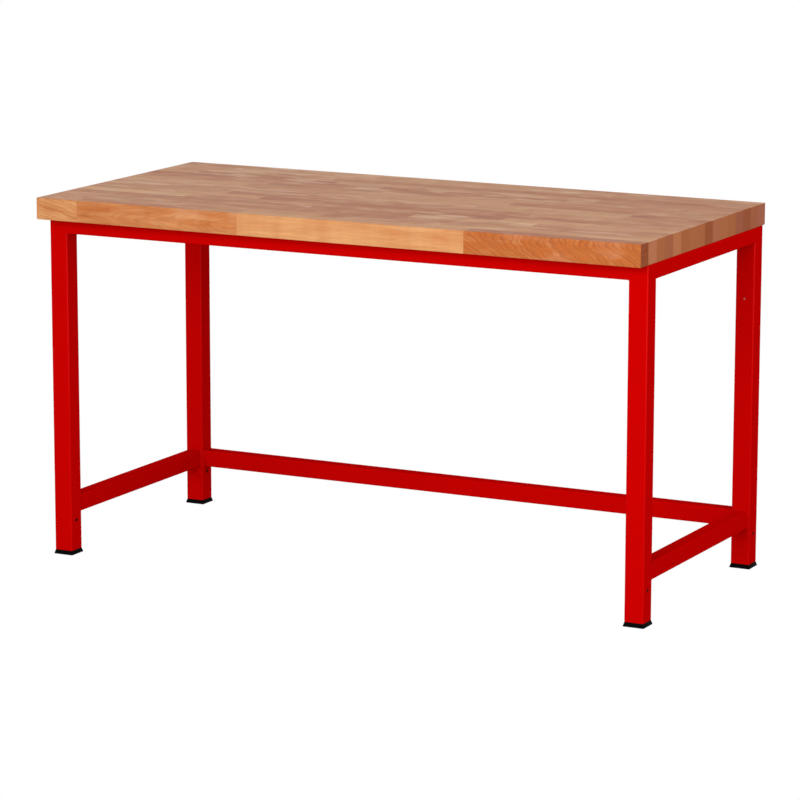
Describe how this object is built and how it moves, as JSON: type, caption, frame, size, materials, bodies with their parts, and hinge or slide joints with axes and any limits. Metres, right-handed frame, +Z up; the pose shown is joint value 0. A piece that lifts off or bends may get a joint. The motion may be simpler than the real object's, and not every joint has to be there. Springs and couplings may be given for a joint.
{
  "type": "height-adjustable workbench",
  "caption": "Workbench with a thick glued beech worktop on a red welded tube frame, with telescopic legs clamped by set screws and black flared foot caps.",
  "frame": {"origin": "on the floor, under the middle of the worktop, with the legs pushed in", "axes": "+X along the bench to the right, +Y from the front to the rear, +Z up"},
  "size_m": [1.5025, 0.7, 0.84],
  "materials": {
    "worktop_beech": "oiled, satin",
    "frame_red": "powder coat, satin",
    "inner_leg_zinc": "zinc plated, satin",
    "black_plastic": "moulded, matt",
    "zinc_fasteners": "zinc plated, bright",
    "black_steel": "black oxide"
  },
  "bodies": {
    "frame": {"worktop": "worktop_beech", "leg_tube_front_left": "frame_red", "leg_tube_front_right": "frame_red", "leg_tube_rear_left": "frame_red", "leg_tube_rear_right": "frame_red", "top_rail_front": "frame_red", "top_rail_rear": "frame_red", "top_rail_left": "frame_red", "top_rail_right": "frame_red", "lower_rail_left": "frame_red", "lower_rail_right": "frame_red", "lower_rail_rear": "frame_red", "corner_plate_front_left": "frame_red", "corner_plate_front_right": "frame_red", "corner_plate_rear_left": "frame_red", "corner_plate_rear_right": "frame_red", "middle_tab_front": "frame_red", "middle_tab_rear": "frame_red", "worktop_screws": "zinc_fasteners", "threaded_insert": "zinc_fasteners"},
    "leg_front_left": {"inner_leg_front_left": "inner_leg_zinc", "foot_cap_front_left": "black_plastic", "leg_glide_front_left": "black_plastic"},
    "leg_front_right": {"inner_leg_front_right": "inner_leg_zinc", "foot_cap_front_right": "black_plastic", "leg_glide_front_right": "black_plastic"},
    "leg_rear_left": {"inner_leg_rear_left": "inner_leg_zinc", "foot_cap_rear_left": "black_plastic", "leg_glide_rear_left": "black_plastic"},
    "leg_rear_right": {"inner_leg_rear_right": "inner_leg_zinc", "foot_cap_rear_right": "black_plastic", "leg_glide_rear_right": "black_plastic"},
    "clamp_front_left": {"clamp_screw_front_left": "black_steel"},
    "clamp_front_right": {"clamp_screw_front_right": "black_steel"},
    "clamp_rear_left": {"clamp_screw_rear_left": "black_steel"},
    "clamp_rear_right": {"clamp_screw_rear_right": "black_steel"}
  },
  "joints": [
    {"name": "leg_front_left_slide", "type": "slide", "parent": "frame", "child": "leg_front_left", "axis": [0, 0, -1], "range_m": [0, 0.2]},
    {"name": "leg_front_right_slide", "type": "slide", "parent": "frame", "child": "leg_front_right", "axis": [0, 0, -1], "range_m": [0, 0.2]},
    {"name": "leg_rear_left_slide", "type": "slide", "parent": "frame", "child": "leg_rear_left", "axis": [0, 0, -1], "range_m": [0, 0.2]},
    {"name": "leg_rear_right_slide", "type": "slide", "parent": "frame", "child": "leg_rear_right", "axis": [0, 0, -1], "range_m": [0, 0.2]},
    {"name": "clamp_front_left_turn", "type": "hinge", "parent": "frame", "child": "clamp_front_left", "pos_m": [-0.6965, -0.2875, 0.08], "axis": [1, 0, 0], "range_deg": [0, 360]},
    {"name": "clamp_front_right_turn", "type": "hinge", "parent": "frame", "child": "clamp_front_right", "pos_m": [0.7485, -0.2875, 0.08], "axis": [1, 0, 0], "range_deg": [0, 360]},
    {"name": "clamp_rear_left_turn", "type": "hinge", "parent": "frame", "child": "clamp_rear_left", "pos_m": [-0.6965, 0.3155, 0.08], "axis": [1, 0, 0], "range_deg": [0, 360]},
    {"name": "clamp_rear_right_turn", "type": "hinge", "parent": "frame", "child": "clamp_rear_right", "pos_m": [0.7485, 0.3155, 0.08], "axis": [1, 0, 0], "range_deg": [0, 360]}
  ]
}
